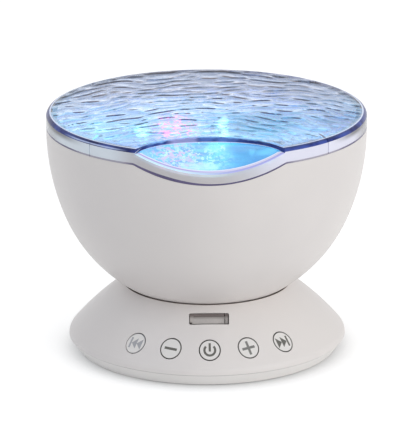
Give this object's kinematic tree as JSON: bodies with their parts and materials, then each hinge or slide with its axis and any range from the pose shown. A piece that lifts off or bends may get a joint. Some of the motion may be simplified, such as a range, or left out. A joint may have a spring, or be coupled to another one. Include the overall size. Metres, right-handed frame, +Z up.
{
  "type": "ocean wave projector",
  "caption": "Night-light projector: a ball-shaped bowl with a rippled clear lens cover tilts on a flared base with push buttons, a card window and rear sockets.",
  "frame": {"origin": "centre of the footprint on the table, under the bowl's axis", "axes": "+Z up; front with the buttons and the scooped facet toward -Y; +X to the right seen from the front"},
  "size_m": [0.1252, 0.1252, 0.0962],
  "materials": {
    "white_plastic": "satin to gloss moulded plastic",
    "button_plastic": "satin moulded plastic with a printed symbol",
    "clear_plastic": "clear polished plastic",
    "reflector_plastic": "bright silvered plastic",
    "inner_plastic": "plain moulded plastic",
    "gear_plastic": "natural acetal",
    "steel": "plated",
    "circuit_board": "solder mask",
    "led_resin": "moulded resin",
    "motor_steel": "drawn can",
    "foot_rubber": "soft matte",
    "dark_plastic": "moulded",
    "socket_plastic": "grey moulded front",
    "cone_paper": "pressed paper cone",
    "magnet": "ferrite"
  },
  "bodies": {
    "base": {"base_shell": "white_plastic", "base_plate": "white_plastic", "base_screws": "steel", "feet": "foot_rubber", "tilt_saddle": "inner_plastic", "wave_washer": "steel", "lock_nut": "steel", "control_board": "circuit_board", "board_parts": "dark_plastic", "control_screws": "steel", "switch_carrier": "inner_plastic", "tact_switches": "dark_plastic", "card_socket": "socket_plastic", "card_board": "circuit_board", "card_screws": "steel", "speaker_frame": "dark_plastic", "speaker_cone": "cone_paper", "speaker_magnet": "magnet", "speaker_screws": "steel", "socket_board": "circuit_board", "socket_screws": "steel", "power_socket": "dark_plastic", "audio_socket": "dark_plastic"},
    "head": {"bowl_shell": "white_plastic", "lens_cover": "clear_plastic", "reflector": "reflector_plastic", "light_deck": "inner_plastic", "deck_screws": "steel", "led_board": "circuit_board", "led_board_screws": "steel", "leds": "led_resin", "led_lenses": "clear_plastic", "spindle": "steel", "retaining_clip": "steel", "gear_motor": "motor_steel", "motor_screws": "steel"},
    "disc": {"ripple_disc": "clear_plastic", "drive_wheel": "gear_plastic"},
    "pinion": {"pinion": "gear_plastic"},
    "back_button": {"back_button": "button_plastic"},
    "minus_button": {"minus_button": "button_plastic"},
    "power_button": {"power_button": "button_plastic"},
    "plus_button": {"plus_button": "button_plastic"},
    "forward_button": {"forward_button": "button_plastic"}
  },
  "joints": [
    {"name": "head_tilt", "type": "hinge", "parent": "base", "child": "head", "pos_m": [0, 0, 0.078], "axis": [1, 0, 0], "range_deg": [-22.5, 22.5]},
    {"name": "disc_spin", "type": "hinge", "parent": "head", "child": "disc", "pos_m": [0, 0, 0.0795], "axis": [0, 0, 1], "continuous": true},
    {"name": "pinion_spin", "type": "hinge", "parent": "head", "child": "pinion", "pos_m": [0.03, 0, 0.068], "axis": [0, 0, 1], "continuous": true},
    {"name": "back_press", "type": "slide", "parent": "base", "child": "back_button", "axis": [0.545, 0.7501, -0.3746], "range_m": [0, 0.0005], "stiffness_N_per_m": 2000},
    {"name": "minus_press", "type": "slide", "parent": "base", "child": "minus_button", "axis": [0.2865, 0.8818, -0.3746], "range_m": [0, 0.0005], "stiffness_N_per_m": 2000},
    {"name": "power_press", "type": "slide", "parent": "base", "child": "power_button", "axis": [0, 0.9272, -0.3746], "range_m": [0, 0.0005], "stiffness_N_per_m": 2000},
    {"name": "plus_press", "type": "slide", "parent": "base", "child": "plus_button", "axis": [-0.2865, 0.8818, -0.3746], "range_m": [0, 0.0005], "stiffness_N_per_m": 2000},
    {"name": "forward_press", "type": "slide", "parent": "base", "child": "forward_button", "axis": [-0.545, 0.7501, -0.3746], "range_m": [0, 0.0005], "stiffness_N_per_m": 2000}
  ],
  "couplings": [
    {"joint": "pinion_spin", "follows": "disc_spin", "ratio": -4}
  ]
}
